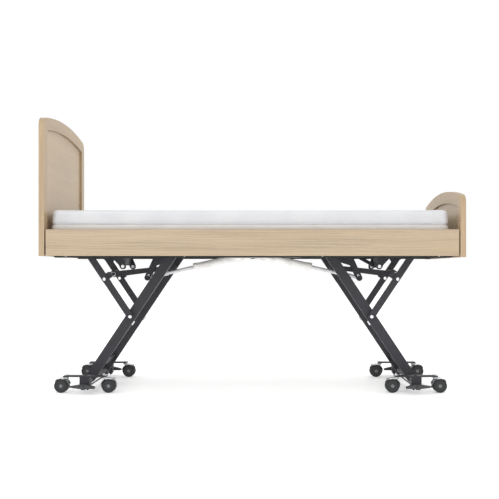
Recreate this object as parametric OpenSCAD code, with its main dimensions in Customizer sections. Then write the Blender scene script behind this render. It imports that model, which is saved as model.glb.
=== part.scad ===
// Adjustable hospital bed: wooden end boards and side panels, steel chassis,
// two scissor leg sets with electric lift, four-section platform and mattress.
// Origin on the floor under the middle of the bed, +X to the foot end,
// -Y the side seen first (the patient's right), Z up. Millimetres.

/* [Overall] */
// length over the two end boards
bed_length = 2130; // [1900:10:2400]
// width over the end boards
bed_width = 1000; // [850:10:1200]
// underside of the wooden boards and panels
wood_bottom = 700; // [600:5:800]
// thickness of the end boards
board_thick = 28; // [18:1:40]

/* [End boards] */
// top of the headboard at its middle
headboard_top = 1430; // [1200:5:1600]
// top of the footboard at its middle
footboard_top = 1053; // [950:5:1300]
// radius of the headboard arch
headboard_arch = 3100; // [1500:50:6000]
// radius of the footboard arch
footboard_arch = 2400; // [1200:50:6000]
// how far the footboard hangs below the side panels
footboard_drop = 6; // [0:1:30]
// width of the border round the inset panel
board_border = 62; // [40:1:120]
// depth of the inset panel behind the inner face
panel_recess = 12; // [5:1:18]
// radius of the two top corners
board_corner = 50; // [20:1:120]

/* [Side panels] */
// top edge of the side panels
side_top = 833; // [780:1:900]
// thickness of the side panels
side_thick = 18; // [12:1:30]
// shadow gap between side panel and end board
side_gap = 7; // [2:1:20]

/* [Chassis] */
// outer face of the rails, from the middle
rail_outer = 300; // [250:5:400]
// lower edge of the rails
rail_bottom = 694; // [600:1:760]
// upper edge of the rails
rail_top = 746; // [700:1:800]
// sheet thickness of rails and brackets
sheet = 3; // [2:0.5:6]

/* [Platform and mattress] */
// underside of the mattress
deck_top = 785; // [700:5:900]
// top of the mattress
mattress_top = 931; // [850:1:1000]
// half width of the mattress
mattress_half = 440; // [380:5:500]
// half width of the platform frame
platform_half = 425; // [350:5:480]
// hinge line of the backrest
back_hinge_x = -225; // [-400:5:-100]
// hinge line of the thigh section
thigh_hinge_x = -5; // [-100:5:100]
// hinge line between thigh and calf
calf_hinge_x = 325; // [200:5:500]
// height of the three hinge lines
hinge_z = 770; // [740:1:800]

/* [Leg sets] */
// middle plane between the two leg sets
legs_middle = -11; // [-50:1:50]
// distance of the link pivot from that plane
link_pivot_u = 850; // [700:5:950]
// height of the link pivots and of the track rollers
link_pivot_z = 710.6; // [650:0.1:800]
// short link length, half the main leg
link_length = 391; // [300:1:450]
// lean of the short link from the vertical, bed raised
link_lean = 33.7; // [20:0.1:60]
// depth of the main leg tube
leg_depth = 50; // [35:1:70]

/* [Bases] */
// height of the base beam above the floor
beam_z = 60; // [50:1:90]
// base beam diameter
beam_d = 42; // [30:1:60]
// castor wheel diameter
wheel_d = 70; // [50:5:125]
// distance of the swivel stems from the beam
stem_u = 100; // [80:5:140]
// distance of the swivel stems from the middle of the bed
stem_y = 346; // [300:2:420]

/* [Hidden] */
$fn = 64;
slit = 0.3;                 // air left between neighbouring solids
fit = 0.05;                 // radial clearance of running pins
board_inner = bed_length / 2 - board_thick;
board_half = bed_width / 2;
side_half = board_inner - side_gap;
rail_half = board_inner - 7;
rail_inner = rail_outer - 28;

// points of one leg set, u outward from legs_middle, z up
O = [link_pivot_u, link_pivot_z];
M = O + link_length * [-sin(link_lean), -cos(link_lean)];
A = [O[0] - 2 * link_length * sin(link_lean), link_pivot_z];
B = [O[0], beam_z];
P = [511, 750];             // lever pivot
Q = [441.1, 645.2];         // drag link pin on the lever
N = [588, 586.3];           // actuator pin on the lever
H = [-29, 728];             // rear pivot of the lift actuator
R = O + (Q - P);            // drag link pin on the short link
link_dir = atan2(M[1] - O[1], M[0] - O[0]);
leg_dir = atan2(A[1] - B[1], A[0] - B[0]);
lift_dir = atan2(N[1] - H[1], N[0] - H[0]);
lift_len = norm(N - H);
lift_y = [100, -65];        // planes of the head and foot lift actuators

// crank pins and rear pivots of the two section actuators, [x, z]
crank = 62;
back_pin = [back_hinge_x + crank * sin(32.5), hinge_z - crank * cos(32.5)];
knee_pin = [thigh_hinge_x - crank * sin(17.5), hinge_z - crank * cos(17.5)];
back_rear = [62, 712];
knee_rear = [250, 712];
back_y = 42;
knee_y = -12;

pin_big = 16;
pin_rod = 12;
pin_small = 10;
shaft_z = 38;
brake_y = [414, 442];

wood = [0.80, 0.70, 0.55];
steel = [0.24, 0.24, 0.26];
bright = [0.78, 0.78, 0.80];
ivory = [0.90, 0.89, 0.86];
grey = [0.45, 0.46, 0.48];
cloth = [0.86, 0.87, 0.90];
rubber = [0.20, 0.21, 0.23];

// ---------- building blocks ----------

// box between two corners
module block(x0, x1, y0, y1, z0, z1) translate([x0, y0, z0]) cube([x1 - x0, y1 - y0, z1 - z0]);

// box tube along Y, open at both ends
module tube_y(x0, x1, y0, y1, z0, z1, wall) difference() {
    block(x0, x1, y0, y1, z0, z1);
    block(x0 + wall, x1 - wall, y0 - 1, y1 + 1, z0 + wall, z1 - wall);
}

// box tube along X, open at both ends
module tube_x(x0, x1, y0, y1, z0, z1, wall) difference() {
    block(x0, x1, y0, y1, z0, z1);
    block(x0 - 1, x1 + 1, y0 + wall, y1 - wall, z0 + wall, z1 - wall);
}

// round bar along Y through the point p = [x, z]
module pin_y(p, d, y0, y1) translate([p[0], y0, p[1]]) rotate([-90, 0, 0]) cylinder(d = d, h = y1 - y0);

// upright plate, outline given in x and z, between y0 and y1
module plate_y(outline, y0, y1)
    translate([0, y1, 0]) rotate([90, 0, 0]) linear_extrude(y1 - y0) polygon(outline);

// flat arm from a to b, round ends of width wa and wb
module arm(a, b, wa, wb, y0, y1) {
    n = [a[1] - b[1], b[0] - a[0]] / norm(b - a);
    plate_y([a + n * wa / 2, b + n * wb / 2, b - n * wb / 2, a - n * wa / 2], y0, y1);
    pin_y(a, wa, y0, y1);
    pin_y(b, wb, y0, y1);
}

// children drawn with +X from the point p toward the direction dir (degrees)
module toward(p, dir, y) translate([p[0], y, p[1]]) rotate([0, -dir, 0]) children();

module both_sides() {
    children();
    mirror([0, 1, 0]) children();
}

// children drawn in u, placed at the foot end (+1) or mirrored to the head end (-1)
module at_end(e) translate([legs_middle, 0, 0]) {
    if (e > 0) children();
    else mirror([1, 0, 0]) children();
}

function actuator_y(e) = e > 0 ? lift_y[1] : lift_y[0];

// ---------- chassis ----------

lip_z = 701.6;              // top of the lip below the end brackets
lip_half = board_inner - slit;
track = [50, 450];          // reach of the guide strips, in u
track_z = link_pivot_z + 13.6;

module chassis_rails() color(steel) {
    both_sides() {
        for (s = [0, 1]) mirror([s, 0, 0])
            plate_y([[-slit, rail_bottom], [lip_half - 8, rail_bottom], [lip_half, rail_bottom + 5],
                [lip_half, lip_z], [rail_half, lip_z], [rail_half, rail_top], [-slit, rail_top]],
                -rail_outer, sheet - rail_outer);
        for (z = [rail_bottom, rail_top - sheet])
            block(16 - rail_half, rail_half - 16, sheet - rail_outer + slit, -rail_inner, z, z + sheet);
    }
    // guide strips above the track rollers
    for (e = [-1, 1]) at_end(e) both_sides()
        block(track[0], track[1], sheet - rail_outer + slit, 2 - rail_inner, track_z, track_z + sheet);
}

cross_x = [-1008, -861, -696, -567, -340, -75, 53, 250, 545, 674, 839, 1008];
cross_half = 20;
cross_top = rail_top + 18;

module chassis_crossmembers() color(steel)
    for (x = cross_x)
        tube_y(x - cross_half, x + cross_half, -rail_outer, rail_outer,
            rail_top + slit, cross_top, sheet - 1);

// pair of cheek plates with a pin between them
module cheeks(outline, p, d, y, inner, thick) {
    for (y0 = [y - inner - thick, y + inner]) plate_y(outline, y0, y0 + thick);
    pin_y(p, d, y - inner - thick - 3, y + inner + thick + 3);
}

// rear pivot of a section actuator; top is the reach of its cheeks along the rail top
module section_pivot(rear, y, top)
    cheeks([[rear[0] + top[0], rail_top], [rear[0] + top[1], rail_top], rear + [14, 0], rear + [0, -13],
        rear + [-14, 0]], rear, pin_small, y, 18, 5);

link_bracket_y = [236, 264];

// bracket of one short link; the wide one has a longer inner plate
module link_bracket(wide) {
    plate = 6;
    for (y = link_bracket_y) arm(O, [O[0], rail_top - 24], 44, 44, y, y + plate);
    if (wide) plate_y([[O[0] - 53, rail_top], [O[0] - 53, 690], [O[0] - 44, 675], [O[0] - 8, 675],
        [O[0] + 12, 696], [O[0] + 12, rail_top]], link_bracket_y[0], link_bracket_y[0] + plate);
    block(O[0] - 22, O[0] + 22, 236, 270, rail_top - 10, rail_top);
    pin_y(O, pin_big, 233, 274);
    pin_y(O, 24, 270, 275);
}

stop_pin = [683, 649];
stop_wall = [692, 700];

// hanging bracket with bumper pins; the drag link works through the gap in its wall
module stop_bracket(e, y) {
    inner = [[698, 641], [690, 634], [676, 634], [667, 641], [667, 656], [682, 690], [682, rail_top]];
    difference() {
        union() {
            plate_y(concat([[706, rail_top], [708, 692], [704, 656]], inner), 180, 188);
            plate_y(concat([[712, rail_top], [738, 706], [738, 692], [704, 656]], inner), -188, -180);
        }
        both_sides() pin_y(stop_pin, pin_small, 170, 200);
    }
    for (span = [[slit - 180, y - 9], [y + 9, 180 - slit]])
        block(stop_wall[0], stop_wall[1], span[0], span[1], 655, rail_top);
}

module pivot_brackets() color(steel) {
    for (e = [-1, 1]) at_end(e) {
        y = actuator_y(e);
        link_bracket(true);
        mirror([0, 1, 0]) link_bracket(false);
        // lever pivot, its cheeks standing beside a cross-member and reaching under it
        cheeks([[P[0] - 18, 734], [P[0] + 60, 734], [P[0] + 65, rail_top], [P[0] + 24, rail_top],
            [P[0] + 24, cross_top], [P[0] - 18, cross_top]], P, pin_big, y, 22, 6);
        // rear pivot of the lift actuator
        cheeks([[H[0] - 50, 738], [H[0] - 14, 712], [H[0] + 14, 712], [H[0] + 14, 738], [H[0] + 8, rail_top],
            [H[0] - 50, rail_top]], H, pin_rod, y, 23, 5);
        stop_bracket(e, y);
    }
    // stay between the foot stop bracket and the next cross-member
    at_end(1) {
        arm([548, 735], [696, 652], 20, 20, 118, 124);
        block(538, 558, 118, 124, 736, rail_top);
    }
    section_pivot(back_rear, back_y, [-26, 10]);
    section_pivot(knee_rear, knee_y, [-18, 18]);
}

end_plate = 6.7;            // end bracket thickness, filling the gap between rail and board
end_plate_z = 702;
pole_x = -1008;
pole_y = 459;
pole_bore = 31;
pole_socket_d = 40;

module end_brackets() color(steel) {
    for (s = [-1, 1]) both_sides()
        translate([s > 0 ? board_inner - end_plate : -board_inner, 240, end_plate_z])
            cube([end_plate, 90, cross_top - end_plate_z]);
    // sockets for a lifting pole at the two head corners, closed below
    both_sides() {
        difference() {
            translate([pole_x, pole_y, end_plate_z]) cylinder(d = pole_socket_d, h = 64);
            translate([pole_x, pole_y, end_plate_z + 4]) cylinder(d = pole_bore, h = 70);
        }
        block(pole_x - 18, pole_x + 18, rail_outer + slit, pole_y - 20.5, cross_top - 6, cross_top);
    }
}

panel_bracket_x = [-937, -340, 350, 937];

module panel_brackets() color(steel)
    for (x = panel_bracket_x) both_sides() {
        wood_y = board_half - side_thick;
        block(x - 20, x + 20, rail_outer + slit, wood_y - 5, wood_bottom + 4, wood_bottom + 9);
        block(x - 20, x + 20, wood_y - 5 + slit, wood_y - slit, wood_bottom + 4, wood_bottom + 70);
    }

// domed bolt head on a vertical face, axis along Y
module dome_y(p, d, y, s) translate([p[0], y, p[1]]) intersection() {
    sphere(d = d);
    translate([-d, s > 0 ? 0 : -d / 3, -d]) cube([2 * d, d / 3, 2 * d]);
}

module hex_y(p, across, y0, y1) translate([p[0], y0, p[1]]) rotate([-90, 0, 0])
    cylinder(d = across / cos(30), h = y1 - y0, $fn = 6);

module fasteners() color(bright) {
    // screws holding the side panels, seen just under the wood
    for (x = panel_bracket_x, s = [-1, 1]) translate([x, s * (board_half - side_thick - 14), wood_bottom - 2])
        cylinder(d = 9, h = 5.7);
    for (e = [-1, 1]) at_end(e) {
        y = actuator_y(e);
        both_sides() {
            hex_y(O, 18, 275.3, 283);
            pin_y(stop_pin, 18, 174, 180 - slit);
            pin_y(stop_pin, 18, 188 + slit, 194);
        }
        for (s = [-1, 1]) hex_y(P, 20, y + s * 34.3 - 3, y + s * 34.3 + 3);
    }
    // bolts of the end brackets and their nuts on the rails
    for (s = [-1, 1], y = [-1, 1], z = [718, 748]) translate([s * (board_inner - 11), y * 318, z])
        rotate([0, 90, 0]) cylinder(d = 12, h = 8, center = true, $fn = 6);
}

module control_box() color(grey) {
    difference() {
        block(70, 300, 330, 450, 702, 752);
        block(69, 76, 372, 400, 716, 738);
    }
    block(76.3, 80, 340, 345, 697, 701.7);
    block(286, 290, 340, 345, 697, 701.7);
    // cable gland block on the inner side
    block(110, 260, 310, 329.7, 712, 736);
}

// ---------- wooden boards ----------

// arched outline in y and z: top height, arch radius, half width, bottom, corner radius
module arched_face(top, arch, half, bottom, corner) {
    c = [half - corner, top - arch + sqrt(pow(arch - corner, 2) - pow(half - corner, 2))];
    lean = atan2(c[1] - (top - arch), c[0]);
    reach = 3 * corner;
    difference() {
        intersection() {
            translate([0, top - arch]) circle(r = arch, $fn = 360);
            translate([-half, bottom]) square([2 * half, top - bottom + 1]);
        }
        for (s = [0, 1]) mirror([s, 0]) difference() {
            polygon([c, c + [reach, 0], c + [reach, reach], c + reach * [cos(lean), sin(lean)]]);
            translate(c) circle(r = corner);
        }
    }
}

module plain_arch(top, arch, half, bottom) intersection() {
    translate([0, top - arch]) circle(r = arch, $fn = 360);
    translate([-half, bottom]) square([2 * half, top - bottom + 1]);
}

// stands a y-z outline up as a plate between x0 and x1
module stand_x(x0, x1) translate([x0, 0, 0]) rotate([90, 0, 90]) linear_extrude(x1 - x0) children();

stile = 70;                 // width of the upright members
bottom_rail = 110;          // height of the lower member
groove = 8;                 // depth of the panel groove

// frame of an end board: two stiles, arched top rail and bottom rail, grooved for the panel
module board_frame(top, arch, x0, face, bottom) difference() {
    stand_x(x0, x0 + board_thick) arched_face(top, arch, board_half, bottom, board_corner);
    stand_x(x0 - 1, x0 + board_thick + 1)
        plain_arch(top - board_border, arch - board_border, board_half - stile, wood_bottom + bottom_rail);
    stand_x(face, face + 8 + 2 * slit)
        plain_arch(top - board_border + groove + slit, arch - board_border + groove + slit,
            board_half - stile + groove + slit, wood_bottom + bottom_rail - groove - slit);
    // joints between stiles and rails
    both_sides() for (z = [bottom - 1, top - 160]) translate([x0 - 1, board_half - stile - slit, z])
        cube([board_thick + 2, slit, z < bottom ? wood_bottom - bottom + bottom_rail + 2 : 200]);
}

module board_panel(top, arch, face) stand_x(face + slit, face + 8 + slit)
    plain_arch(top - board_border + groove, arch - board_border + groove,
        board_half - stile + groove, wood_bottom + bottom_rail - groove);

head_x0 = -bed_length / 2;
foot_x0 = bed_length / 2 - board_thick;
head_face = head_x0 + board_thick - panel_recess - 8;
foot_face = foot_x0 + panel_recess;

module headboard_frame() color(wood)
    board_frame(headboard_top, headboard_arch, head_x0, head_face, wood_bottom);
module headboard_panel() color(wood) board_panel(headboard_top, headboard_arch, head_face);
module footboard_frame() color(wood)
    board_frame(footboard_top, footboard_arch, foot_x0, foot_face, wood_bottom - footboard_drop);
module footboard_panel() color(wood) board_panel(footboard_top, footboard_arch, foot_face);

// side panel with eased long edges
module side_panel() {
    ease = 3;
    y0 = board_half - side_thick;
    stand_x(-side_half, side_half) polygon([[y0 + ease, wood_bottom], [board_half - ease, wood_bottom],
        [board_half, wood_bottom + ease], [board_half, side_top - ease], [board_half - ease, side_top],
        [y0 + ease, side_top], [y0, side_top - ease], [y0, wood_bottom + ease]]);
}

module left_side_panel() color(wood) side_panel();
module right_side_panel() color(wood) mirror([0, 1, 0]) side_panel();

// ---------- platform ----------

frame_h = 20;
slat_w = 34;
slat_thick = 5;

// section frame between x0 and x1 with slats centred at the listed places
module section(x0, x1, slats) {
    z0 = deck_top - frame_h;
    both_sides() tube_x(x0, x1, platform_half - frame_h, platform_half, z0, deck_top, 2);
    for (x = slats) block(x - slat_w / 2, x + slat_w / 2, slit - platform_half + frame_h,
        platform_half - frame_h - slit, deck_top - slat_thick, deck_top);
}

// eye plate beside the frame, solid where it carries the hinge pin
module hinge_eye(x, reach, y0, y1, bore = 0) both_sides() difference() {
    arm([x, hinge_z], [x + reach, hinge_z], 18, 18, y0, y1);
    if (bore > 0) pin_y([x, hinge_z], bore, y0 - 1, y1 + 1);
}

module hinge_pin(x) both_sides() {
    pin_y([x, hinge_z], pin_small, platform_half + slit, platform_half + 13);
    pin_y([x, hinge_z], 15, platform_half + 12.6, platform_half + 14.6);
}

// crank plates under a section, slotted for the actuator pin
module crank_plates(hinge_x, pin, root_x, y, slot) difference() {
    for (s = [-1, 1]) {
        y0 = y + s * 12 - 3;
        arm([hinge_x, hinge_z], pin, 26, 28, y0, y0 + 6);
        arm([hinge_x, hinge_z + 2], [root_x, hinge_z + 2], 18, 18, y0, y0 + 6);
    }
    d = (pin - [hinge_x, hinge_z]) / crank;
    arm(pin + d * slot[0], pin + d * slot[1], pin_small + 2.6, pin_small + 2.6, y - 40, y + 40);
}

back_gap = 12;
module seat_platform() color(steel) {
    section(back_hinge_x + back_gap, thigh_hinge_x - 7, [-180, -118, -56]);
    hinge_eye(back_hinge_x, 34, platform_half + slit, platform_half + 5);
    hinge_pin(back_hinge_x);
    hinge_eye(thigh_hinge_x, -34, platform_half + slit, platform_half + 5);
    hinge_pin(thigh_hinge_x);
    // feet standing on the cross-members
    for (y = [-200, 200]) block(-73, -56, y - 25, y + 25, cross_top + slit, deck_top - slat_thick - slit);
}

module backrest_platform() color(steel) {
    section(-1005, back_hinge_x - back_gap, [-985, -905, -825, -745, -665, -590, -455, -375, -300]);
    hinge_eye(back_hinge_x, -46, platform_half + 6.5, platform_half + 12, pin_small + 2 * fit);
    for (s = [-1, 1]) block(back_hinge_x - 62, back_hinge_x - back_gap - 16, s * (platform_half + 3.4) - 3.1,
        s * (platform_half + 3.4) + 2.8, hinge_z - 8, hinge_z + 8);
    crank_plates(back_hinge_x, back_pin, -262, back_y, [-8.6, 3]);
    tube_y(-272, -244, -platform_half + frame_h + slit, platform_half - frame_h - slit,
        deck_top - frame_h, deck_top - slat_thick - slit, 2);
}

module thigh_platform() color(steel) {
    section(thigh_hinge_x + 8, calf_hinge_x - 4, [22, 95, 165, 235, 300]);
    hinge_eye(thigh_hinge_x, 46, platform_half + 6.5, platform_half + 12, pin_small + 2 * fit);
    both_sides() block(thigh_hinge_x + 24, thigh_hinge_x + 60, platform_half + slit, platform_half + 6.2,
        hinge_z - 8, hinge_z + 8);
    hinge_eye(calf_hinge_x, -34, platform_half + slit, platform_half + 5);
    hinge_pin(calf_hinge_x);
    crank_plates(thigh_hinge_x, knee_pin, 26, knee_y, [-3.2, 0.4]);
}

module calf_platform() color(steel) {
    section(calf_hinge_x + 4, 985, [352, 415, 560, 640, 720, 800, 880, 960]);
    hinge_eye(calf_hinge_x, 46, platform_half + 6.5, platform_half + 12, pin_small + 2 * fit);
    both_sides() block(calf_hinge_x + 24, calf_hinge_x + 60, platform_half + slit, platform_half + 6.2,
        hinge_z - 8, hinge_z + 8);
}

// mattress piece: outline in x and z, full width
module mattress_piece(outline) color(cloth) plate_y(outline, -mattress_half, mattress_half);

rise_lo = deck_top + slit - hinge_z;
rise_hi = mattress_top - hinge_z;
back_lean = 32.6;           // lean of the wedge gaps that close when the sections rise
knee_lean = 17.6;
mattress_head = -1013;
mattress_foot = 988;
calf_split = 0.5;           // half the split of the mattress over the calf hinge

module mattress_back() mattress_piece([[mattress_head, deck_top + slit],
    [back_hinge_x - rise_lo * tan(back_lean), deck_top + slit],
    [back_hinge_x - rise_hi * tan(back_lean), mattress_top], [mattress_head, mattress_top]]);
module mattress_seat() mattress_piece([[back_hinge_x + rise_lo * tan(back_lean), deck_top + slit],
    [thigh_hinge_x - rise_lo * tan(knee_lean), deck_top + slit],
    [thigh_hinge_x - rise_hi * tan(knee_lean), mattress_top],
    [back_hinge_x + rise_hi * tan(back_lean), mattress_top]]);
module mattress_thigh() mattress_piece([[thigh_hinge_x + rise_lo * tan(knee_lean), deck_top + slit],
    [calf_hinge_x - calf_split, deck_top + slit], [calf_hinge_x - calf_split, mattress_top],
    [thigh_hinge_x + rise_hi * tan(knee_lean), mattress_top]]);
module mattress_calf() mattress_piece([[calf_hinge_x + calf_split, deck_top + slit],
    [mattress_foot, deck_top + slit], [mattress_foot, mattress_top],
    [calf_hinge_x + calf_split, mattress_top]]);

// ---------- section actuators, lying along -X from their rear pivots ----------

module round_x(x0, x1, d) translate([x0, 0, 0]) rotate([0, 90, 0]) cylinder(d = d, h = x1 - x0);

function slope(from, to) = atan2(to[1] - from[1], to[0] - from[0]);

section_rod_d = 14;

module section_body(rear, pin, y, tube_end) toward(rear, slope(rear, pin), y) difference() {
    union() {
        translate([-13, -16, -13]) cube([75, 32, 28]);
        round_x(60, tube_end, 28);
        round_x(tube_end - 14, tube_end, 31);
    }
    pin_y([0, 0], pin_small + 2 * fit, -20, 20);
    round_x(66, tube_end + 1, section_rod_d + 4 * fit);
}

module section_rod(rear, pin, y, start) {
    toward(rear, slope(rear, pin), y) {
        round_x(start, norm(pin - rear), section_rod_d);
        pin_y([norm(pin - rear), 0], 24, -8, 8);
    }
    pin_y(pin, pin_small, y - 19, y + 19);
}

module back_actuator_body() color(ivory) section_body(back_rear, back_pin, back_y, 178);
module back_actuator_rod() color(bright) section_rod(back_rear, back_pin, back_y, 80);
module knee_actuator_body() color(ivory) section_body(knee_rear, knee_pin, knee_y, 195);
module knee_actuator_rod() color(bright) section_rod(knee_rear, knee_pin, knee_y, 120);

// ---------- lift actuators ----------

lift_tube_end = 366;
lift_rod_start = 258;
rod_d = 19;
motor_start = 25;
motor_len = 84;

// actuator housing, guide tube and, on the outer side, the motor ahead of the rear bracket
module lift_body(e) color(ivory) at_end(e) toward(H, lift_dir, actuator_y(e)) {
    difference() {
        union() {
            translate([-18, -21, -18]) cube([118, 42, 38]);
            round_x(98, lift_tube_end, 38);
            round_x(lift_tube_end - 26, lift_tube_end, 43);
        }
        pin_y([0, 0], pin_rod + 2 * fit, -30, 30);
        round_x(104, lift_tube_end + 1, rod_d + 4 * fit);
    }
    out = e > 0 ? -1 : 1;
    translate([motor_start, out > 0 ? 21 + slit : -70, -24]) cube([motor_len, 49 - slit, 36]);
    translate([motor_start + motor_len + slit, out * 46, -6]) rotate([0, 90, 0]) cylinder(d = 34, h = 52);
}

module lift_rod(e) color(bright) at_end(e) {
    y = actuator_y(e);
    toward(H, lift_dir, y) {
        round_x(lift_rod_start, lift_len - 8, rod_d);
        round_x(lift_len - 120, lift_len - 46, 25);
        round_x(lift_len - 47, lift_len - 16, 21);
        pin_y([lift_len, 0], 34, -9.5, 9.5);
    }
    pin_y(N, pin_rod, y - 23, y + 23);
    for (s = [-1, 1]) pin_y(N, 21, y + s * 21.5 - 1.5, y + s * 21.5 + 1.5);
    for (s = [-1, 1]) hex_y(N, 15, y + s * 26 - 3, y + s * 26 + 3);
}

// ---------- lever and drag link ----------

lever_gap = 11;
lever_thick = 8;
drag_pin_q = 14;            // pins of the drag link, at the lever and at the short link
drag_pin_r = 19;

module lever_plate(y0) difference() {
    union() {
        arm(P, N, 34, 32, y0, y0 + lever_thick);
        arm(P, Q, 32, 30, y0, y0 + lever_thick);
        plate_y([P + [-4, -10], P + [10, -10], P + 0.62 * (N - P), P + 0.72 * (Q - P) + [14, 0]],
            y0, y0 + lever_thick);
    }
    pin_y(P, pin_big + 2 * fit, y0 - 1, y0 + lever_thick + 1);
    // slot for the actuator pin
    d = (N - P) / norm(N - P);
    arm(N - d * 14, N + d * 2.8, pin_rod + 3, pin_rod + 3, y0 - 1, y0 + lever_thick + 1);
}

module lever(e) color(steel) at_end(e) {
    y = actuator_y(e);
    for (y0 = [y - lever_gap - lever_thick, y + lever_gap]) lever_plate(y0);
    pin_y(Q, drag_pin_q, y - 22, y + 22);
    // spacer sleeves between the plates
    difference() {
        pin_y(P, 26, y - lever_gap + slit, y + lever_gap - slit);
        pin_y(P, pin_big + 2 * fit, y - 30, y + 30);
    }
}

module drag_link(e) color(steel) at_end(e) {
    y = actuator_y(e);
    difference() {
        arm(R, Q, 33, 24, y - 6, y + 6);
        pin_y(R, drag_pin_r + 2 * fit, y - 7, y + 7);
        pin_y(Q, drag_pin_q + 2 * fit, y - 7, y + 7);
    }
}

// ---------- short link and main leg ----------

tube_near = 104;            // drive tube of the short link, along the link
tube_far = 136;
link_y = [244, 262];
link_hole = [151, 6];       // open hole in each short link
gusset = [[131, 12], [165, 12], [165, 34], [157, 42], [139, 42], [131, 34]];

module short_link(e) color(steel) at_end(e) {
    y = actuator_y(e);
    r_at = norm(R - O);
    both_sides() difference() {
        union() {
            arm(O, M, 34, 34, link_y[0], link_y[1]);
            toward(O, link_dir, 0) plate_y([for (g = gusset) [g[0], -g[1]]], link_y[0] + 6, link_y[1] - 6);
        }
        pin_y(O, pin_big + 2 * fit, 200, 300);
        pin_y(M, pin_big + 2 * slit, 200, 300);
        toward(O, link_dir, 0) pin_y(link_hole, 18, 200, 300);
    }
    // drive tube from the left link to the drag link, with the pin of the drag link
    toward(O, link_dir, 0) difference() {
        translate([tube_near, y + 9, -14]) cube([tube_far - tube_near, link_y[0] - slit - y - 9, 28]);
        pin_y([r_at, 0], drag_pin_r + 2 * slit, -300, 300);
    }
    pin_y(R, drag_pin_r, y - 9, link_y[0] - slit);
    pin_y(R, 26, y - 11, y - 8);
    dome_y(R, 21, y - 11, -1);
    both_sides() {
        pin_y(M, pin_big, 201, 263);
        pin_y(M, 24, 262 + slit, 266);
        pin_y(M, 22, 196, 201);
        dome_y(M, 20, 266, 1);
    }
}

leg_y = [205, 235];
leg_wall = 2.5;
leg_over = 20;              // leg tube beyond the roller axle
roller_axle = 14;

module main_leg(e) color(steel) at_end(e) both_sides() {
    length = 2 * link_length + leg_over;
    sleeve = beam_d + 8;
    difference() {
        union() {
            toward(B, leg_dir, 0) difference() {
                translate([0, leg_y[0], -leg_depth / 2]) cube([length, leg_y[1] - leg_y[0], leg_depth]);
                translate([sleeve / 2 + 4, leg_y[0] + leg_wall, leg_wall - leg_depth / 2])
                    cube([length, leg_y[1] - leg_y[0] - 2 * leg_wall, leg_depth - 2 * leg_wall]);
            }
            pin_y(B, sleeve, 200, 240);
            // bushes of the centre pivot and of the roller axle
            pin_y(M, 28, leg_y[0], leg_y[1]);
            pin_y(A, 24, leg_y[0], leg_y[1]);
        }
        pin_y(B, beam_d + 2 * fit, 190, 250);
        pin_y(M, pin_big + 2 * fit, 190, 250);
    }
    // cross tube between the two legs
    toward(B, leg_dir, 0)
        tube_y(62, 106, -1, leg_y[0] - slit, 2 - leg_depth / 2, 32 - leg_depth / 2, leg_wall);
    // clip on the inner edge, a little below the centre pivot
    toward(B, leg_dir, 0) translate([link_length - 36, leg_y[0] + 10, leg_depth / 2 - 1]) cube([24, 12, 8]);
    // roller axle and its collar
    pin_y(A, roller_axle, leg_y[1] + slit, 293);
    pin_y(A, 22, leg_y[1] + slit, 270);
    pin_y(A, 20, 293, 295);
}

module track_rollers(e) color(grey) at_end(e) both_sides() difference() {
    pin_y(A, 26, 274, 292.5);
    pin_y(A, roller_axle + 2 * fit, 270, 300);
}

// ---------- bases ----------

beam_half = 345;
stem_d = 14;
shaft_d = 12;
plate_half = 110;
plate_z = [81.3, 87.3];

module base_frame(e) color(steel) at_end(e) translate([B[0], 0, 0]) {
    pin_y([0, beam_z], beam_d, -beam_half, beam_half);
    both_sides() {
        // collars that keep the legs from sliding along the beam
        for (y = [[192, 199.5], [240.5, 248]]) difference() {
            pin_y([0, beam_z], 50, y[0], y[1]);
            pin_y([0, beam_z], beam_d - 1, y[0] - 1, y[1] + 1);
        }
        difference() {
            block(-plate_half, plate_half, stem_y - 30, stem_y + 30, plate_z[0], plate_z[1]);
            for (s = [-1, 1]) translate([s * stem_u, stem_y, 0]) cylinder(d = stem_d + 2 * fit, h = 120);
        }
        // brake housing at the end of the beam, open below for the tie bar of the pedals
        difference() {
            plate_y([[-26, plate_z[0] - slit], [26, plate_z[0] - slit], [26, 28], [17, 14],
                [-17, 14], [-26, 28]], 325, 374);
            pin_y([0, beam_z], beam_d + 2 * slit, 320, beam_half + slit);
            pin_y([0, shaft_z], shaft_d + 2 * fit, beam_half + 2 * slit, 380);
            block(-10, 10, 320, 380, 10, 29);
        }
        for (y = [332, 360]) translate([0, y, plate_z[1] + slit]) cylinder(d = 12, h = 3, $fn = 6);
    }
}

// pedal outline, long arm toward +x, the outer end of the base
pedal = [[-62, 29], [-62, 39], [-22, 49], [16, 50], [36, 46], [74, 40], [74, 37], [20, 30], [0, 28],
    [-40, 29]];
tie_z = 22;                 // bar that joins the two pedals of a base

module brake_pedals(e) color(grey) at_end(e) translate([B[0], 0, 0]) {
    both_sides() {
        difference() {
            plate_y(pedal, brake_y[0], brake_y[1]);
            pin_y([0, shaft_z], shaft_d + 2 * slit, 400, 460);
        }
        pin_y([0, shaft_z], shaft_d, 347, 446);
        pin_y([0, shaft_z], 18, 446 + slit, 450);
        arm([0, shaft_z], [0, tie_z], 18, 14, 376, 382);
    }
    pin_y([0, tie_z], 8, -382, 382);
}

// swivel castors: 1 outer right, 2 inner right, 3 outer left, 4 inner left
function castor_out(i) = i % 2 == 1 ? 1 : -1;
function castor_side(i) = i <= 2 ? -1 : 1;
trail = 22;
wheel_gap = 8;
wheel_w = 21;
hood_r = wheel_d / 2 + 6;

module at_castor(e, i) at_end(e)
    translate([B[0] + castor_out(i) * stem_u, castor_side(i) * stem_y, 0])
        mirror([castor_out(i) > 0 ? 0 : 1, 0, 0]) children();

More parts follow.
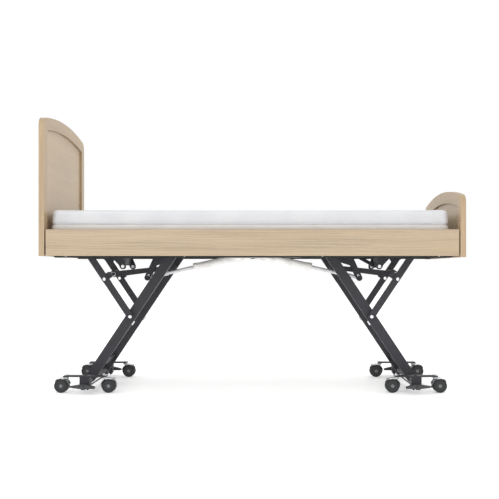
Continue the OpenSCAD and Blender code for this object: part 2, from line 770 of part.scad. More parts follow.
module castor(e, i) color(grey) at_castor(e, i) {
    axle = [trail, wheel_d / 2];
    reach = hood_r + 20;
    // hood over the two wheels
    intersection() {
        difference() {
            pin_y(axle, 2 * hood_r, -wheel_gap - wheel_w, wheel_gap + wheel_w);
            pin_y(axle, 2 * hood_r - 7, -wheel_gap - wheel_w - 1, wheel_gap + wheel_w + 1);
        }
        plate_y([axle + [-3, 8], axle + [reach, reach * 0.9], axle + [0, 2 * reach],
            axle + [-2 * reach, 2 * reach], axle + [-2 * reach, 8]], -60, 60);
    }
    // web between the wheels, and the stem
    intersection() {
        pin_y(axle, 2 * hood_r - 1, 1.5 - wheel_gap, wheel_gap - 1.5);
        plate_y([axle + [-14, -14], axle + [14, -14], axle + [reach, reach * 0.9], axle + [0, 2 * reach],
            axle + [-2 * reach, 2 * reach], axle + [-2 * reach, 4]], -60, 60);
    }
    translate([0, 0, 58]) cylinder(d = 11, h = 14);
    translate([0, 0, 71]) cylinder(d = 26, h = 7);
    translate([0, 0, 70]) cylinder(d = stem_d, h = 22);
    translate([0, 0, plate_z[1] + slit]) cylinder(d = 20, h = 4);
    pin_y(axle, 10, -wheel_gap - wheel_w + 3, wheel_gap + wheel_w - 3);
}

outline_d = 70;             // wheel diameter the outline below is drawn for
// half section of one wheel, radius against width
wheel_outline = [[5 + fit, 0], [30, 0], [33.5, 1.5], [35, 5], [35, 16], [33.5, 19.5], [30, 21],
    [26, 21], [25, 19.5], [9, 19.5], [8, 18], [5 + fit, 18]];

module wheels(e, i) color(rubber) at_castor(e, i) both_sides()
    translate([trail, wheel_gap, wheel_d / 2]) rotate([-90, 0, 0])
        rotate_extrude() scale(wheel_d / outline_d) polygon(wheel_outline);

// ---------- nodes ----------

module head_short_link() short_link(-1);
module head_main_leg() main_leg(-1);
module head_track_rollers() track_rollers(-1);
module head_lever() lever(-1);
module head_drag_link() drag_link(-1);
module head_actuator_body() lift_body(-1);
module head_actuator_rod() lift_rod(-1);
module head_base_frame() base_frame(-1);
module head_brake_pedals() brake_pedals(-1);
module foot_short_link() short_link(1);
module foot_main_leg() main_leg(1);
module foot_track_rollers() track_rollers(1);
module foot_lever() lever(1);
module foot_drag_link() drag_link(1);
module foot_actuator_body() lift_body(1);
module foot_actuator_rod() lift_rod(1);
module foot_base_frame() base_frame(1);
module foot_brake_pedals() brake_pedals(1);
module head_castor_1() castor(-1, 1);
module head_wheels_1() wheels(-1, 1);
module head_castor_2() castor(-1, 2);
module head_wheels_2() wheels(-1, 2);
module head_castor_3() castor(-1, 3);
module head_wheels_3() wheels(-1, 3);
module head_castor_4() castor(-1, 4);
module head_wheels_4() wheels(-1, 4);
module foot_castor_1() castor(1, 1);
module foot_wheels_1() wheels(1, 1);
module foot_castor_2() castor(1, 2);
module foot_wheels_2() wheels(1, 2);
module foot_castor_3() castor(1, 3);
module foot_wheels_3() wheels(1, 3);
module foot_castor_4() castor(1, 4);
module foot_wheels_4() wheels(1, 4);

chassis_rails();
chassis_crossmembers();
pivot_brackets();
end_brackets();
panel_brackets();
fasteners();
control_box();
headboard_frame();
headboard_panel();
footboard_frame();
footboard_panel();
right_side_panel();
left_side_panel();
seat_platform();
backrest_platform();
thigh_platform();
calf_platform();
mattress_seat();
mattress_back();
mattress_thigh();
mattress_calf();
back_actuator_body();
back_actuator_rod();
knee_actuator_body();
knee_actuator_rod();
head_short_link();
head_main_leg();
head_track_rollers();
head_lever();
head_drag_link();
head_actuator_body();
head_actuator_rod();
head_base_frame();
head_brake_pedals();
head_castor_1();
head_castor_2();
head_castor_3();
head_castor_4();
head_wheels_1();
head_wheels_2();
head_wheels_3();
head_wheels_4();
foot_short_link();
foot_main_leg();
foot_track_rollers();
foot_lever();
foot_drag_link();
foot_actuator_body();
foot_actuator_rod();
foot_base_frame();
foot_brake_pedals();
foot_castor_1();
foot_castor_2();
foot_castor_3();
foot_castor_4();
foot_wheels_1();
foot_wheels_2();
foot_wheels_3();
foot_wheels_4();
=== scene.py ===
import math

import bmesh
import bpy
import numpy as np
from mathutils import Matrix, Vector


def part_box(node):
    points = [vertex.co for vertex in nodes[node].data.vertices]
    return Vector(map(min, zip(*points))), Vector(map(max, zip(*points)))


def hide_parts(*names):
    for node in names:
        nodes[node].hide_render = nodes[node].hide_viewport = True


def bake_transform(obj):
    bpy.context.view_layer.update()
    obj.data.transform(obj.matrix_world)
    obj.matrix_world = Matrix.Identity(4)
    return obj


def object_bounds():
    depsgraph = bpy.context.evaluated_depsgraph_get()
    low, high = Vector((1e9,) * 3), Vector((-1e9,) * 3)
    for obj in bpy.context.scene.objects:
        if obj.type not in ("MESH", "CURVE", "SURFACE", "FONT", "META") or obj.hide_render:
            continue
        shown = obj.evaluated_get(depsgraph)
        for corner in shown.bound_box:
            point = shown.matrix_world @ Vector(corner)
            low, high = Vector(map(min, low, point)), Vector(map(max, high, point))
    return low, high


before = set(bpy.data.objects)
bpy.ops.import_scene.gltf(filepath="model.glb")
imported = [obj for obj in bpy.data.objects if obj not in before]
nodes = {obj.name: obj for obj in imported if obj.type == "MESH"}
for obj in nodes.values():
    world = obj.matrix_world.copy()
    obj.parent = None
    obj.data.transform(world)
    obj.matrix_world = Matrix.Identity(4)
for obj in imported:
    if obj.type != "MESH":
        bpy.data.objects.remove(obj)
cad_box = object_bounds()

# ---------------------------------------------------------------- camera
# It looks level and square at the bed's right side; the shifts slide the picture without turning it.

SCENE = bpy.context.scene
SCENE.view_settings.view_transform = "Standard"
SCENE.view_settings.look = "None"

camera_data = bpy.data.cameras.new("camera")
camera_data.sensor_width = 36
camera_data.lens = 65.54
camera_data.shift_x = -0.031
camera_data.shift_y = 0.041
camera_data.clip_end = 60
camera = bpy.data.objects.new("camera", camera_data)
camera.location = (0.0628, -5.025, 0.630)
camera.rotation_euler = (math.radians(90), 0, 0)
SCENE.collection.objects.link(camera)
SCENE.camera = camera

# ---------------------------------------------------------------- node material helpers


class Shader:
    """A material under construction: add() makes a node, sockets are linked by name."""

    def __init__(self, name, **settings):
        self.material = bpy.data.materials.new(name)
        self.material.use_nodes = True
        self.tree = self.material.node_tree
        self.bsdf = self.tree.nodes["Principled BSDF"]
        for socket, value in settings.items():
            self.bsdf.inputs[socket.replace("_", " ")].default_value = value

    def add(self, kind, inputs=None, **props):
        item = self.tree.nodes.new("ShaderNode" + kind)
        for key, value in props.items():
            setattr(item, key, value)
        for key, value in (inputs or {}).items():
            if isinstance(value, bpy.types.NodeSocket):
                self.tree.links.new(value, item.inputs[key])
            else:
                item.inputs[key].default_value = value
        return item

    def link(self, out, socket):
        self.tree.links.new(out, self.bsdf.inputs[socket])

    def place(self, attribute=None):
        """Where a point lies on the piece at rest, in metres."""
        if attribute:
            return self.add("Attribute", attribute_name=attribute).outputs["Vector"]
        return self.add("TexCoord").outputs["Object"]

    def stretch(self, vector, scale, location=(0, 0, 0)):
        return self.add("Mapping", {"Vector": vector, "Scale": scale, "Location": location}).outputs["Vector"]

    def noise(self, vector, scale=1.0, detail=3.0, rough=0.5):
        inputs = {"Vector": vector, "Scale": scale, "Detail": detail, "Roughness": rough}
        return self.add("TexNoise", inputs).outputs["Fac"]

    def math(self, operation, a, b=0.0):
        return self.add("Math", {0: a, 1: b}, operation=operation).outputs[0]

    def span(self, value, low, high, to_low=0.0, to_high=1.0):
        """Maps low..high to to_low..to_high, held at the ends."""
        return self.add("MapRange", {"Value": value, "From Min": low, "From Max": high, "To Min": to_low,
                                     "To Max": to_high}).outputs["Result"]

    def ramp(self, value, stops):
        """Colour of a value, between (position, colour) stops."""
        item = self.add("ValToRGB", {"Fac": value})
        band = item.color_ramp
        while len(band.elements) < len(stops):
            band.elements.new(0.5)
        for element, (position, colour) in zip(band.elements, stops):
            element.position = position
            element.color = (*colour, 1)
        return item.outputs["Color"]

    def mix(self, factor, a, b):
        """Colour between a and b; each argument is a socket or a plain value."""
        item = self.add("Mix", data_type="RGBA")
        for index, value in ((0, factor), (6, a), (7, b)):
            if isinstance(value, bpy.types.NodeSocket):
                self.tree.links.new(value, item.inputs[index])
            elif index == 0:
                item.inputs[index].default_value = value
            else:
                item.inputs[index].default_value = (*value, 1)
        return item.outputs[2]

    def bump(self, heights, edge=0.0):
        """Stacks (height, strength, distance) bumps, over rounded edges of the given radius."""
        normal = None
        if edge:
            normal = self.add("Bevel", {"Radius": edge}, samples=6).outputs["Normal"]
        for height, strength, distance in heights:
            item = self.add("Bump", {"Height": height, "Strength": strength, "Distance": distance})
            if normal is not None:
                self.tree.links.new(normal, item.inputs["Normal"])
            normal = item.outputs["Normal"]
        self.link(normal, "Normal")


def linear(*display):
    """Linear colour from 0-255 display values."""
    return tuple(((v / 255 + 0.055) / 1.055) ** 2.4 if v > 10 else v / 255 / 12.92 for v in display)


def shades(colour, *factors):
    """The colour made darker or lighter by each factor."""
    return [tuple(min(1.0, c * f) for c in colour) for f in factors]


# ---------------------------------------------------------------- materials


def wood(name, colour, axis, upright=None, seed=0.0):
    """Lacquered light oak. axis is the grain's direction; upright is a half width beyond which it runs up."""
    s = Shader(name, Coat_Weight=0.12, Coat_Roughness=0.3)
    place = s.place()
    split = s.add("SeparateXYZ", {"Vector": place})
    x, y, z = split.outputs
    along, depth = {"X": (x, y), "Y": (y, x)}[axis]
    lying = s.add("CombineXYZ", {0: along, 1: s.math("ADD", z, depth), 2: depth}).outputs[0]
    if upright:
        standing = s.add("CombineXYZ", {0: z, 1: s.math("ADD", x, y), 2: y}).outputs[0]
        side = s.math("GREATER_THAN", s.math("ABSOLUTE", y), upright)
        pick = s.add("Mix", {0: side, 4: lying, 5: standing}, data_type="VECTOR")
        lying = pick.outputs[1]
    lying = s.stretch(lying, (1, 1, 1), (seed, seed * 0.7, 0))
    warp = s.noise(s.stretch(lying, (1.6, 9, 9)), detail=2)
    drift = s.math("MULTIPLY", warp, 0.035)
    sideways = s.add("CombineXYZ", {1: drift}).outputs[0]
    bent = s.add("VectorMath", {0: lying, 1: sideways}, operation="ADD").outputs[0]
    board = s.noise(s.stretch(bent, (0.9, 14, 14)), detail=2)
    streak = s.noise(s.stretch(bent, (2.8, 185, 185)), detail=4, rough=0.62)
    fine = s.noise(s.stretch(bent, (16, 620, 620)), detail=3, rough=0.6)
    rings = s.add("TexWave", {"Vector": s.stretch(bent, (0.22, 1, 1)), "Scale": 26, "Distortion": 5.5,
                              "Detail": 3, "Detail Scale": 1.2, "Detail Roughness": 0.55},
                  bands_direction="Y", wave_profile="SAW").outputs["Fac"]
    pores = s.noise(s.stretch(bent, (30, 1500, 1500)), detail=1)
    pore = s.span(pores, 0.60, 0.74)
    tone = s.math("ADD", s.math("MULTIPLY", streak, 0.52), s.math("MULTIPLY", rings, 0.12))
    tone = s.math("ADD", tone, s.math("MULTIPLY", board, 0.28))
    tone = s.math("ADD", tone, s.math("MULTIPLY", fine, 0.20))
    dark, low, mid, high = shades(colour, 0.68, 0.87, 1.0, 1.16)
    tint = s.ramp(tone, [(0.36, dark), (0.48, low), (0.56, mid), (0.69, high)])
    red = tuple(c * f for c, f in zip(colour, (1.03, 0.95, 0.88)))
    patch = s.noise(s.stretch(bent, (0.7, 5, 5)), detail=1)
    tint = s.mix(s.span(patch, 0.45, 0.75, 0, 0.55), tint, red)
    tint = s.mix(s.math("MULTIPLY", pore, 0.34), tint, tuple(c * 0.55 for c in colour))
    s.link(tint, "Base Color")
    s.link(s.span(streak, 0.3, 0.7, 0.36, 0.52), "Roughness")
    s.bump([(fine, 0.10, 0.0006), (pore, -0.16, 0.0004)], edge=0.003)
    return s.material


def powder_coat(name, colour, rough):
    """Fine-textured paint on steel, a little dust and rubbed spots."""
    s = Shader(name, Specular_IOR_Level=0.32)
    place = s.place()
    cloud = s.noise(place, scale=5.5, detail=4)
    dust = s.noise(place, scale=38, detail=3)
    peel = s.noise(place, scale=820, detail=2)
    pick = s.noise(s.stretch(place, (1, 1, 2.4)), scale=70, detail=5, rough=0.75)
    low, mid, high = shades(colour, 0.82, 1.0, 1.3)
    tint = s.ramp(s.math("ADD", s.math("MULTIPLY", cloud, 0.7), s.math("MULTIPLY", dust, 0.3)),
                  [(0.36, low), (0.5, mid), (0.66, high)])
    worn = s.span(pick, 0.70, 0.78)
    tint = s.mix(s.math("MULTIPLY", worn, 0.5), tint, tuple(min(1, c * 2.2 + 0.03) for c in colour))
    s.link(tint, "Base Color")
    s.link(s.math("ADD", s.span(cloud, 0.3, 0.7, rough - 0.07, rough + 0.08), s.math("MULTIPLY", worn, -0.1)),
           "Roughness")
    s.bump([(peel, 0.22, 0.0003), (cloud, 0.05, 0.002)], edge=0.0004)
    return s.material


def bright_metal(name, colour, rough, metallic, along=(1, 1, 1)):
    """Zinc-plated or polished steel with drawn streaks."""
    s = Shader(name, Metallic=metallic)
    place = s.place()
    streak = s.noise(s.stretch(place, along), scale=160, detail=4, rough=0.7)
    cloud = s.noise(place, scale=22, detail=3)
    low, mid, high = shades(colour, 0.78, 1.0, 1.12)
    s.link(s.ramp(s.math("ADD", s.math("MULTIPLY", cloud, 0.6), s.math("MULTIPLY", streak, 0.4)),
                  [(0.35, low), (0.5, mid), (0.68, high)]), "Base Color")
    s.link(s.span(streak, 0.3, 0.7, rough - 0.06, rough + 0.10), "Roughness")
    s.bump([(streak, 0.07, 0.0002)], edge=0.0006)
    return s.material


def plastic(name, colour, rough, coat=0.0):
    """Moulded plastic with an eroded-mould grain and faint marks."""
    s = Shader(name, Coat_Weight=coat)
    place = s.place()
    cells = s.add("TexVoronoi", {"Vector": place, "Scale": 900}).outputs["Distance"]
    cloud = s.noise(place, scale=14, detail=4)
    scuff = s.span(s.noise(s.stretch(place, (1, 3, 1)), scale=60, detail=6, rough=0.8), 0.68, 0.8)
    low, mid, high = shades(colour, 0.88, 1.0, 1.1)
    tint = s.ramp(cloud, [(0.35, low), (0.5, mid), (0.68, high)])
    tint = s.mix(s.math("MULTIPLY", scuff, 0.25), tint, tuple(min(1, c * 1.4 + 0.02) for c in colour))
    s.link(tint, "Base Color")
    s.link(s.span(cloud, 0.3, 0.7, rough - 0.05, rough + 0.07), "Roughness")
    s.bump([(cells, 0.18, 0.00025), (cloud, 0.04, 0.0015)], edge=0.0012)
    return s.material


def tyre_rubber(name, colour):
    """Grey castor tread with flecks of dust."""
    s = Shader(name)
    place = s.place()
    dust = s.noise(place, scale=75, detail=5, rough=0.65)
    fine = s.noise(place, scale=620, detail=2)
    low, mid, high = shades(colour, 0.85, 1.0, 1.7)
    s.link(s.ramp(dust, [(0.36, low), (0.52, mid), (0.74, high)]), "Base Color")
    s.link(s.span(dust, 0.3, 0.7, 0.5, 0.72), "Roughness")
    s.bump([(fine, 0.2, 0.0003), (dust, 0.12, 0.0006)], edge=0.001)
    return s.material


OAK_SIDE = linear(173, 154, 128)
OAK_FACE = linear(171, 149, 119)
OAK_PANEL = linear(178, 157, 128)
CHARCOAL = (0.029, 0.029, 0.035)
# Painted shade: a darker copy of the charcoal coat for the chassis parts that sit under the bed.
CHARCOAL_PAINTED_SHADE = (0.012, 0.012, 0.014)
STILE_INSIDE = 0.43     # the stiles of the end boards lie farther out than this

MATERIALS = {
    "oak_side": wood("oak_side", OAK_SIDE, "X", seed=0.3),
    "oak_frame": wood("oak_frame", OAK_FACE, "Y", upright=STILE_INSIDE, seed=1.7),
    "oak_panel": wood("oak_panel", OAK_PANEL, "Y", seed=4.1),
    "steel": powder_coat("charcoal_powder_coat", CHARCOAL, 0.5),
    "steel_painted_shade": powder_coat("charcoal_coat_painted_shade", CHARCOAL_PAINTED_SHADE, 0.48),
    "zinc": bright_metal("zinc_plate", (0.74, 0.74, 0.76), 0.42, 0.8),
    "rod": bright_metal("drawn_rod", (0.72, 0.72, 0.74), 0.45, 0.35, (0.25, 1, 1)),
    "ivory": plastic("actuator_ivory", linear(243, 242, 238), 0.38, coat=0.1),
    "dark_plastic": plastic("hood_plastic", (0.038, 0.040, 0.043), 0.45),
    "hood_skin": plastic("hood_skin", (0.13, 0.14, 0.14), 0.34),
    "wheel_disc": plastic("wheel_disc", (0.017, 0.018, 0.020), 0.55),
    "hub_plastic": plastic("hub_plastic", (0.16, 0.165, 0.17), 0.45),
    "box_plastic": plastic("box_plastic", linear(205, 206, 206), 0.45),
    "tyre": tyre_rubber("castor_tyre", (0.012, 0.013, 0.014)),
}


def paint(node, *names):
    """Gives a CAD node its materials, one per slot."""
    mesh = nodes[node].data
    mesh.materials.clear()
    for name in names:
        mesh.materials.append(MATERIALS[name])


def choose(node, index_of):
    """Picks the material slot of each face of a CAD node from its centre."""
    for face in nodes[node].data.polygons:
        face.material_index = index_of(face.center)


for node in nodes:
    if "castor" in node or "pedals" in node:
        paint(node, "dark_plastic")
    elif "rollers" in node:
        paint(node, "box_plastic")
    elif node.endswith("actuator_body"):
        paint(node, "ivory")
    elif node.endswith("actuator_rod"):
        paint(node, "rod")
    # The chassis rails, cross members and brackets under the bed get the darker coat, which is painted shade.
    elif node in ("chassis_rails", "chassis_crossmembers", "panel_brackets", "end_brackets"):
        paint(node, "steel_painted_shade")
    elif not node.startswith("mattress"):
        paint(node, "steel")
for node in ("right_side_panel", "left_side_panel"):
    paint(node, "oak_side")
for node in ("headboard_frame", "footboard_frame"):
    paint(node, "oak_frame")
for node in ("headboard_panel", "footboard_panel"):
    paint(node, "oak_panel")
paint("fasteners", "zinc")
paint("control_box", "box_plastic")

# ---------------------------------------------------------------- floor and light

FLOOR_REACH = 40.0
FLOOR_GAP = 0.0004      # keeps the floor's surface off the tyres

floor_mesh = bpy.data.meshes.new("floor")
floor_corners = [(x * FLOOR_REACH, y * FLOOR_REACH, 0) for x, y in ((-1, -1), (1, -1), (1, 1), (-1, 1))]
floor_mesh.from_pydata(floor_corners, [], [(0, 1, 2, 3)])
floor = bpy.data.objects.new("floor", floor_mesh)
floor.location.z = cad_box[0][2] - FLOOR_GAP
SCENE.collection.objects.link(floor)
floor_shader = Shader("floor_paint", Roughness=0.7, Emission_Strength=0.36, Emission_Color=(1, 1, 1, 1))
floor_tone = floor_shader.noise(floor_shader.place(), scale=2.0, detail=3)
floor_shades = [(0.3, (0.93, 0.93, 0.93)), (0.7, (0.95, 0.95, 0.95))]
floor_shader.link(floor_shader.ramp(floor_tone, floor_shades), "Base Color")
floor_mesh.materials.append(floor_shader.material)

world = bpy.data.worlds.new("studio")
world.use_nodes = True
world.node_tree.nodes["Background"].inputs["Color"].default_value = (1, 1, 1, 1)
world.node_tree.nodes["Background"].inputs["Strength"].default_value = 1.0
SCENE.world = world


def softbox(name, place, aim, size, power):
    """A rectangular lamp at a place, turned to face the aim."""
    data = bpy.data.lights.new(name, "AREA")
    data.shape = "RECTANGLE"
    data.size, data.size_y = size
    data.energy = power
    lamp = bpy.data.objects.new(name, data)
    lamp.location = place
    lamp.rotation_euler = (Vector(aim) - Vector(place)).to_track_quat("-Z", "Y").to_euler()
    SCENE.collection.objects.link(lamp)


softbox("key", (-2.2, -3.6, 3.4), (0, 0, 0.7), (2.6, 2.0), 22)
softbox("fill", (2.8, -4.2, 2.0), (0, 0, 0.6), (2.2, 2.2), 6)
softbox("low", (0.2, -4.4, 0.5), (0, 0, 0.5), (3.0, 0.8), 18)
softbox("top", (0, 0.4, 4.2), (0, 0, 0.8), (3.4, 2.4), 18)

# ---------------------------------------------------------------- mattress

HALF_LENGTH, HALF_WIDTH = 1.0065, 0.440
MIDDLE_X = -0.0125      # the mattress's middle along the bed
BOTTOM, TOP = 0.7856, 0.9305
CORNER, EDGE = 0.032, 0.012     # radii of the upright corners and of the edges around top and bottom
SEAM, SEAM_HALF, SEAM_DEPTH = 0.8605, 0.0055, 0.0050
SEAM_REACH = 0.03       # the seam's wander dies out this far above and below it
SEAM_WANDER = 0.0022
STEP = 0.020            # spacing of the grid before it is smoothed
KNIT_ROW, KNIT_LOOP = 0.0022, 0.0026    # spacing of the knit's level rows and of its slanting loops
HEAD_CUT, FOOT_CUT = -0.085, 0.160      # upright planes where the cover is cut into three parts
BACK_BEND = (HEAD_CUT, -0.375)          # stretches along the bed handed to bend() with each part
THIGH_BEND = (HEAD_CUT, 0.075)
CALF_BEND = (0.215, 0.435)


def plan_place(u, v):
    """Grid point (u, v), each -1 to 1, on a plan with rounded corners: its place and outward normal."""
    reach_x, reach_y = HALF_LENGTH - CORNER, HALF_WIDTH - CORNER
    x, y = u * HALF_LENGTH, v * HALF_WIDTH
    dx, dy = max(abs(x) - reach_x, 0), max(abs(y) - reach_y, 0)
    if dx > 0 and dy > 0:
        scale = max(dx, dy) / math.hypot(dx, dy)
        dx, dy = dx * scale, dy * scale
        x = math.copysign(reach_x + dx, x)
        y = math.copysign(reach_y + dy, y)
        length = math.hypot(dx, dy)
        return x, y, math.copysign(dx / length, x), math.copysign(dy / length, y)
    if abs(u) >= abs(v) * HALF_WIDTH / HALF_LENGTH and dx > 0:
        return x, y, math.copysign(1, x), 0.0
    return x, y, 0.0, math.copysign(1, y)


def spread(half):
    """Grid lines across one direction, about STEP apart and closer in the corners."""
    corner = [half - CORNER] + [half - CORNER + CORNER * math.tan(math.radians(a)) for a in (15, 30)] + [half]
    count = round(2 * (half - CORNER) / STEP)
    inner = [-(half - CORNER) + 2 * (half - CORNER) * k / count for k in range(1, count)]
    return [value / half for value in [-c for c in reversed(corner)] + inner + corner]


def wall_profile():
    """(inset, height) down the wall from the top edge to the bottom one; the seam comes later."""
    rounds = [(EDGE * (1 - math.cos(math.radians(a))), EDGE * (1 - math.sin(math.radians(a))))
              for a in (70, 45, 20, 0)]
    upper = [(inset, TOP - drop) for inset, drop in rounds]
    lower = [(inset, BOTTOM + drop) for inset, drop in reversed(rounds)]
    seam = [(0, SEAM + offset * SEAM_HALF) for offset in (1.6, 0.8, 0, -0.8, -1.6)]
    between = [(0, TOP - EDGE + (SEAM - TOP + EDGE) * share) for share in (0.3, 0.6)]
    below = [(0, (BOTTOM + EDGE + SEAM) / 2)]
    return upper + between + seam + below + lower


def mattress_mesh():
    """The flat-sided cover: a grid on top and bottom, joined by rings around the wall."""
    us, vs = spread(HALF_LENGTH), spread(HALF_WIDTH)
    nu, nv = len(us), len(vs)
    points, faces = [], []

    def level(z):
        """Adds one grid at height z; returns its point numbers."""
        start = len(points)
        for u in us:
            for v in vs:
                x, y, nx, ny = plan_place(u, v)
                edge = max(abs(u), abs(v)) > 0.9999
                shift = EDGE if edge else 0
                points.append((x - nx * shift, y - ny * shift, z))
        return [[start + i * nv + j for j in range(nv)] for i in range(nu)]

    rim = [(i, 0) for i in range(nu)] + [(nu - 1, j) for j in range(1, nv)]
    rim += [(i, nv - 1) for i in range(nu - 2, -1, -1)] + [(0, j) for j in range(nv - 2, 0, -1)]
    top, bottom = level(TOP), level(BOTTOM)
    for i in range(nu - 1):
        for j in range(nv - 1):
            faces.append((top[i][j], top[i + 1][j], top[i + 1][j + 1], top[i][j + 1]))
            faces.append((bottom[i][j], bottom[i][j + 1], bottom[i + 1][j + 1], bottom[i + 1][j]))
    rings = [[top[i][j] for i, j in rim]]
    for inset, z in wall_profile():
        ring = []
        for i, j in rim:
            x, y, nx, ny = plan_place(us[i], vs[j])
            ring.append(len(points))
            points.append((x - nx * inset, y - ny * inset, z))
        rings.append(ring)
    rings.append([bottom[i][j] for i, j in rim])
    for upper, lower in zip(rings, rings[1:]):
        for k in range(len(rim)):
            after = (k + 1) % len(rim)
            faces.append((upper[k], lower[k], lower[after], upper[after]))
    mesh = bpy.data.meshes.new("mattress")
    mesh.from_pydata([(x + MIDDLE_X, y, z) for x, y, z in points], [], faces)
    mesh.validate()
    return mesh


def coordinates(mesh):
    co = np.zeros(len(mesh.vertices) * 3)
    mesh.vertices.foreach_get("co", co)
    return co.reshape(-1, 3)


def set_coordinates(mesh, co):
    mesh.vertices.foreach_set("co", np.ascontiguousarray(co, float).ravel())
    mesh.update()


def bake(obj):
    """Replaces the object's mesh by what its modifiers make of it."""
    result = bpy.data.meshes.new_from_object(obj.evaluated_get(bpy.context.evaluated_depsgraph_get()))
    obj.modifiers.clear()
    obj.data = result


def settle(obj, held, frames=20, pressure=4.0, cap=0.005):
    """Puffs the cover out over its foam with a short cloth simulation, moving no point by more than cap."""
    before = coordinates(obj.data)
    group = obj.vertex_groups.new(name="held")
    group.add([int(k) for k in held], 1.0, "REPLACE")
    cloth = obj.modifiers.new("cloth", "CLOTH")
    cloth.settings.vertex_group_mass = "held"
    cloth.settings.effector_weights.gravity = 0
    cloth.settings.use_pressure = True
    cloth.settings.uniform_pressure_force = pressure
    cloth.settings.tension_stiffness = 40
    cloth.settings.compression_stiffness = 40
    cloth.settings.bending_stiffness = 6
    cloth.settings.shrink_min = -0.004
    cloth.settings.quality = 5
    cloth.collision_settings.use_collision = False
    cloth.point_cache.frame_start = 1
    cloth.point_cache.frame_end = frames
    for step in range(1, frames + 1):
        SCENE.frame_set(step)
    bake(obj)
    SCENE.frame_set(1)
    moved = coordinates(obj.data) - before
    far = np.linalg.norm(moved, axis=1)
    keep = np.where(far > cap, cap / np.maximum(far, 1e-9), 1.0)
    moved *= keep[:, None]
    set_coordinates(obj.data, before + moved)
    obj.vertex_groups.clear()


def ripples(x, seeds, lengths):
    """A sum of slow waves along x, -1 to 1."""
    waves = [math.sin(2 * math.pi * x / length + seed) for seed, length in zip(seeds, lengths)]
    return sum(waves) / len(waves)


def sew_seam(co):
    """Pulls the cover in along its seam, which wanders a little as a sewn one does."""
    result = co.copy()
    for index, (x, y, z) in enumerate(co):
        if abs(z - SEAM) > SEAM_REACH:
            continue
        wander = SEAM_WANDER * ripples(x + 3 * y, (0.4, 2.1, 5.0), (0.83, 0.47, 0.29))
        ahead = abs(z - SEAM) / (SEAM_HALF * 2.4)
        if ahead < 1:
            deep = SEAM_DEPTH * (0.5 + 0.5 * math.cos(math.pi * ahead))
            _, _, nx, ny = plan_place((x - MIDDLE_X) / HALF_LENGTH, y / HALF_WIDTH)
            result[index, 0] -= nx * deep
            result[index, 1] -= ny * deep
        result[index, 2] += wander * (1 - abs(z - SEAM) / SEAM_REACH)
    return result


def mattress_cover():
    """White knitted cover; the band under the seam is painted warmer, a painted reflection of the oak around
    it.
    """
    s = Shader("mattress_cover", Sheen_Weight=0.25, Sheen_Roughness=0.4, Specular_IOR_Level=0.25)
    rest = s.place("rest")
    x, y, z = s.add("SeparateXYZ", {"Vector": rest}).outputs
    cloud = s.noise(rest, scale=7, detail=3)
    lint = s.noise(rest, scale=260, detail=2)
    upper = s.ramp(cloud, [(0.35, linear(206, 207, 210)), (0.65, linear(212, 213, 215))])
    # Painted reflection: below the seam the cover gets a warmer cream tint, standing in for light thrown onto
    # it by the oak.
    lower = s.ramp(cloud, [(0.35, linear(206, 201, 197)), (0.6, linear(212, 206, 201))])
    tint = s.mix(s.span(z, SEAM - 0.003, SEAM + 0.001), lower, upper)
    # Painted shade: a grey line within a few millimetres of the seam stands in for the shadow in the groove
    # under the cover's overhang.
    from_seam = s.math("ABSOLUTE", s.math("SUBTRACT", z, SEAM))
    seam_painted_shade = s.math("MULTIPLY", s.span(from_seam, 0.0015, 0.005, 1, 0), 0.55)
    tint = s.mix(seam_painted_shade, tint, linear(150, 153, 158))
    s.link(tint, "Base Color")
    s.link(s.span(lint, 0.3, 0.7, 0.72, 0.88), "Roughness")
    rows = s.math("SINE", s.math("MULTIPLY", z, 2 * math.pi / KNIT_ROW))
    along = s.math("SINE", s.math("MULTIPLY", s.math("ADD", x, y), 2 * math.pi / KNIT_LOOP))
    across = s.math("SINE", s.math("MULTIPLY", s.math("SUBTRACT", x, y), 2 * math.pi / KNIT_LOOP))
    knit = s.math("ADD", s.math("MULTIPLY", along, across), s.math("MULTIPLY", rows, 0.6))
    s.bump([(cloud, 0.06, 0.006), (lint, 0.08, 0.0006), (knit, 0.16, 0.0004)])
    return s.material


MATERIALS["mattress"] = mattress_cover()

mattress = bpy.data.objects.new("mattress", mattress_mesh())
SCENE.collection.objects.link(mattress)
heights = coordinates(mattress.data)
resting = np.where((heights[:, 2] < BOTTOM + 0.001) | (np.abs(heights[:, 2] - SEAM) < 0.001))[0]
settle(mattress, resting)
smooth = mattress.modifiers.new("smooth", "SUBSURF")
smooth.levels = smooth.render_levels = 1
bake(mattress)
for face in mattress.data.polygons:
    face.use_smooth = True
set_coordinates(mattress.data, sew_seam(coordinates(mattress.data)))
rest = mattress.data.attributes.new("rest", "FLOAT_VECTOR", "POINT")
rest.data.foreach_set("vector", coordinates(mattress.data).ravel())


def slice_out(source, name, low, high):
    """A length of the mattress between two upright cuts, closed at each cut."""
    mesh = source.data.copy()
    work = bmesh.new()
    work.from_mesh(mesh)
    for x, side in ((low, -1), (high, 1)):
        if x is None:
            continue
        whole = work.verts[:] + work.edges[:] + work.faces[:]
        cut = bmesh.ops.bisect_plane(work, geom=whole, plane_co=(x, 0, 0), plane_no=(side, 0, 0),
                                     clear_outer=True)
        rim = [item for item in cut["geom_cut"] if isinstance(item, bmesh.types.BMEdge)]
        for face in bmesh.ops.holes_fill(work, edges=rim, sides=0)["faces"]:
            face.smooth = False
        for edge in rim:
            edge.smooth = False
    work.to_mesh(mesh)
    work.free()
    mesh.materials.append(MATERIALS["mattress"])
    piece = bpy.data.objects.new(name, mesh)
    SCENE.collection.objects.link(piece)
    return piece


def bend(piece, bodies, start, end, *cad_nodes):
    """Hides the CAD nodes that a part of the mattress stands for and bakes its placement into its mesh."""
    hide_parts(*cad_nodes)
    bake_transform(piece)


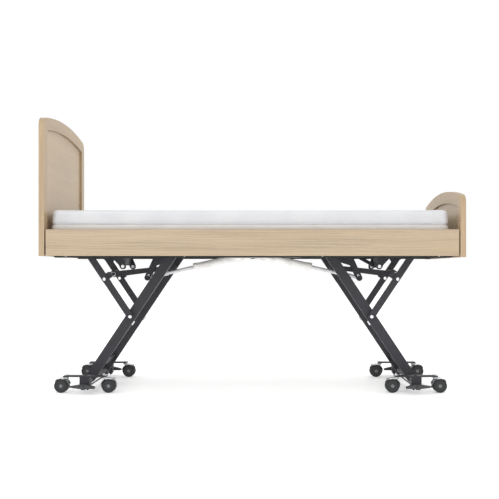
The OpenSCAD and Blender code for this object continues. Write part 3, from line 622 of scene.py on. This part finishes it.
head_part = slice_out(mattress, "mattress_head_part", None, HEAD_CUT)
middle_part = slice_out(mattress, "mattress_middle_part", HEAD_CUT, FOOT_CUT)
foot_part = slice_out(mattress, "mattress_foot_part", FOOT_CUT, None)
bpy.data.objects.remove(mattress)
bend(head_part, ("bed_frame", "backrest"), *BACK_BEND, "mattress_back")
bend(middle_part, ("bed_frame", "thigh_rest"), *THIGH_BEND, "mattress_seat", "mattress_thigh")
bend(foot_part, ("thigh_rest", "calf_rest"), *CALF_BEND, "mattress_calf")

# ---------------------------------------------------------------- castors, clips and pin heads

HUB = 0.0095            # radius of the lighter hub of a wheel
WHEEL_DISC = 0.0255     # radius of the hard disc inside the tyre
AXLE = 0.0055
HOOD_SKIN = 0.0392      # beyond this radius from the axle lies the outside of the hood
STEM_FOOT = 0.0712      # the zinc-plated stem begins at this height
LEG_LINE = ((0.850, 0.060), (0.4161, 0.7106))    # foot and top of a main leg: outward, up
LEG_MIDDLE_X = -0.011   # plane midway between the two leg sets
LEG_HALF = 0.025        # half the depth of the leg tube
CLIP_ALONG = (0.34, 0.40)       # the clip lies between these distances up the leg from its foot
CLIP_CLEAR = 0.0005     # its faces stand off the leg tube by more than this
DOME_BASE = 0.2662      # domed heads of the centre pins lie outside this plane
DRAG_PIN_RIM = (0.009, 0.0015)  # far and near side of the bright rim of the drag link pin, out from the link
ROD_NUT = 0.0095        # dark nut and washer at each end of the lift rod's pin, together


def around(node):
    """Distance from the axis along Y through the middle of a node's box."""
    low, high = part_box(node)
    middle = [(a + b) / 2 for a, b in zip(low, high)]
    return lambda centre: math.hypot(centre.x - middle[0], centre.z - middle[2])


def wheel_slot(radius):
    """Tyre, disc or hub, by the distance from the axle."""
    return 2 if radius < HUB else int(radius < WHEEL_DISC)


def castor_slot(height, radius):
    """Stem, skin of the hood, axle, or the rest of the castor."""
    if height > STEM_FOOT:
        return 1
    if radius > HOOD_SKIN:
        return 2
    return 3 if radius < AXLE else 0


def clip_test(leg):
    """A test for faces of the small clip, which stands on the inner edge of the leg tube."""
    base, top = LEG_LINE
    out = -1 if leg.startswith("head") else 1
    run, rise = top[0] - base[0], top[1] - base[1]

    def clipped(centre):
        u = out * (centre.x - LEG_MIDDLE_X)
        beside = ((u - base[0]) * rise - (centre.z - base[1]) * run) / math.hypot(run, rise)
        along = ((u - base[0]) * run + (centre.z - base[1]) * rise) / math.hypot(run, rise)
        return beside < -LEG_HALF - CLIP_CLEAR and CLIP_ALONG[0] < along < CLIP_ALONG[1]
    return clipped


def pin_head_test(end):
    """A test for bright faces of a short link: the centre pins' domes and the rim of the drag link pin."""
    drag_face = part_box(end + "_drag_link")[0][1]
    far, near = DRAG_PIN_RIM
    return lambda centre: abs(centre.y) > DOME_BASE or drag_face - far < centre.y < drag_face - near


for node in nodes:
    if "wheels" not in node:
        continue
    castor = node.replace("wheels", "castor")
    distance = around(node)
    paint(node, "tyre", "wheel_disc", "hub_plastic")
    choose(node, lambda centre: wheel_slot(distance(centre)))
    paint(castor, "dark_plastic", "zinc", "hood_skin", "hub_plastic")
    choose(castor, lambda centre: castor_slot(centre.z, distance(centre)))

for end in ("head", "foot"):
    leg, link, rod = end + "_main_leg", end + "_short_link", end + "_actuator_rod"
    clip = clip_test(leg)
    paint(leg, "steel", "zinc")
    choose(leg, lambda centre: int(clip(centre)))
    pin_head = pin_head_test(end)
    paint(link, "steel", "zinc")
    choose(link, lambda centre: int(pin_head(centre)))
    low, high = (corner[1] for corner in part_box(rod))
    paint(rod, "rod", "steel")
    choose(rod, lambda centre: int(not low + ROD_NUT < centre.y < high - ROD_NUT))
